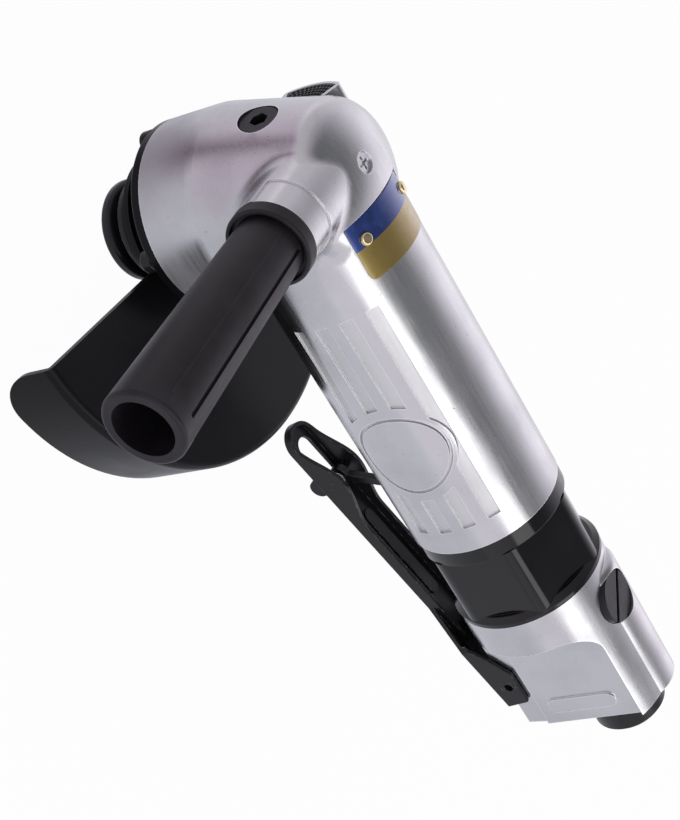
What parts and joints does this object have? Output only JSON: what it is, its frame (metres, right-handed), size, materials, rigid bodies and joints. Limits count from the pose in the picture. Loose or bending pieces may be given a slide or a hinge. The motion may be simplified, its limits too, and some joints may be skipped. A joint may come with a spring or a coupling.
{
  "type": "air angle grinder",
  "caption": "Compressed-air angle grinder: cast barrel and angle head, side handle, swivelling wheel guard, throttle lever with lock, vane motor driving the spindle through bevel gears.",
  "frame": {"origin": "centre of the wheel seat: the outer face of the inner flange, on the spindle axis", "axes": "+X along the barrel from the spindle to the air inlet, +Z along the spindle away from the wheel, side handle towards -Y"},
  "size_m": [0.2524, 0.191, 0.0992],
  "materials": {
    "casting": "polished casting, brushed round the barrel",
    "handle_plastic": "moulded, fine grain",
    "black_gloss": "gloss black",
    "black_paint": "satin black coating",
    "black_oxide": "black oxide",
    "zinc_screw": "bright zinc",
    "plate": "printed sheet, blank",
    "rivet_brass": "bright",
    "bearing_steel": "ground",
    "shaft_steel": "turned",
    "motor_iron": "ground",
    "vane_resin": "cloth-filled resin",
    "seal_rubber": "soft"
  },
  "bodies": {
    "housing": {"motor_housing": "casting", "exhaust_grille": "black_paint", "nameplate": "plate", "nameplate_rivets": "rivet_brass", "head_plug": "black_oxide", "top_screw": "zinc_screw", "spindle_cover": "black_paint", "cover_screws": "zinc_screw", "spindle_seal": "seal_rubber", "side_handle_grip": "handle_plastic", "handle_stud": "zinc_screw", "front_end_plate": "motor_iron", "rear_end_plate": "motor_iron", "cylinder_liner": "motor_iron", "spacer_ring": "black_gloss", "coupling_collar": "black_gloss", "valve_body": "casting", "spigot_o_ring": "seal_rubber", "inlet_bushing": "black_gloss", "inlet_screen": "rivet_brass", "throttle_bush": "rivet_brass", "throttle_spring": "shaft_steel", "lever_pin": "zinc_screw", "spindle_top_outer_race": "bearing_steel", "spindle_low_outer_race": "bearing_steel", "rotor_front_outer_race": "bearing_steel", "rotor_rear_outer_race": "bearing_steel"},
    "rotor": {"rotor": "shaft_steel", "rotor_vanes": "vane_resin", "drive_pinion": "shaft_steel", "rotor_front_inner_race": "bearing_steel", "rotor_rear_inner_race": "bearing_steel"},
    "spindle": {"spindle": "shaft_steel", "bevel_gear": "shaft_steel", "inner_flange": "shaft_steel", "flange_nut": "shaft_steel", "spindle_top_inner_race": "bearing_steel", "spindle_low_inner_race": "bearing_steel"},
    "spindle_top_cage": {"spindle_top_balls": "bearing_steel"},
    "spindle_low_cage": {"spindle_low_balls": "bearing_steel"},
    "rotor_front_cage": {"rotor_front_balls": "bearing_steel"},
    "rotor_rear_cage": {"rotor_rear_balls": "bearing_steel"},
    "guard": {"wheel_guard": "black_paint", "guard_band": "black_paint", "guard_band_screw": "zinc_screw"},
    "throttle": {"throttle_lever": "black_paint", "lock_pin": "black_oxide", "lock_spring": "shaft_steel"},
    "lock": {"lock_lever": "black_oxide"},
    "plunger": {"throttle_plunger": "shaft_steel"},
    "regulator": {"regulator_plug": "black_gloss", "regulator_o_ring": "seal_rubber"}
  },
  "joints": [
    {"name": "rotor_spin", "type": "hinge", "parent": "housing", "child": "rotor", "pos_m": [0, 0, 0.0569], "axis": [1, 0, 0], "continuous": true},
    {"name": "spindle_spin", "type": "hinge", "parent": "housing", "child": "spindle", "pos_m": [0, 0, 0], "axis": [0, 0, 1], "continuous": true},
    {"name": "spindle_top_cage_spin", "type": "hinge", "parent": "housing", "child": "spindle_top_cage", "pos_m": [0, 0, 0], "axis": [0, 0, 1], "continuous": true},
    {"name": "spindle_low_cage_spin", "type": "hinge", "parent": "housing", "child": "spindle_low_cage", "pos_m": [0, 0, 0], "axis": [0, 0, 1], "continuous": true},
    {"name": "rotor_front_cage_spin", "type": "hinge", "parent": "housing", "child": "rotor_front_cage", "pos_m": [0, 0, 0.0569], "axis": [1, 0, 0], "continuous": true},
    {"name": "rotor_rear_cage_spin", "type": "hinge", "parent": "housing", "child": "rotor_rear_cage", "pos_m": [0, 0, 0.0569], "axis": [1, 0, 0], "continuous": true},
    {"name": "guard_swivel", "type": "hinge", "parent": "housing", "child": "guard", "pos_m": [0, 0, 0], "axis": [0, 0, 1], "range_deg": [-90, 90]},
    {"name": "throttle_lever_swing", "type": "hinge", "parent": "housing", "child": "throttle", "pos_m": [0.1945, 0, 0.0369], "axis": [0, 1, 0], "range_deg": [0, 9.5], "stiffness_Nm_per_rad": 0.8, "springref_deg": -8.59},
    {"name": "lock_lever_swing", "type": "hinge", "parent": "throttle", "child": "lock", "pos_m": [0.10591, 0, 0.00943], "axis": [0, 1, 0], "range_deg": [0, 57.5]},
    {"name": "plunger_slide", "type": "slide", "parent": "housing", "child": "plunger", "axis": [0, 0, 1], "range_m": [0, 0.0028], "deforming": ["throttle_spring"]},
    {"name": "regulator_turn", "type": "hinge", "parent": "housing", "child": "regulator", "pos_m": [0.1716, -0.0005, 0.0569], "axis": [0, 0, 1], "range_deg": [-90, 90]}
  ],
  "couplings": [
    {"joint": "spindle_spin", "follows": "rotor_spin", "ratio": 0.48},
    {"joint": "spindle_top_cage_spin", "follows": "rotor_spin", "ratio": 0.19149},
    {"joint": "spindle_low_cage_spin", "follows": "rotor_spin", "ratio": 0.1922},
    {"joint": "rotor_front_cage_spin", "follows": "rotor_spin", "ratio": 0.38949},
    {"joint": "rotor_rear_cage_spin", "follows": "rotor_spin", "ratio": 0.38407},
    {"joint": "lock_lever_swing", "follows": "throttle_lever_swing", "ratio": 6},
    {"joint": "plunger_slide", "follows": "throttle_lever_swing", "m_per_rad": 0.0159}
  ]
}
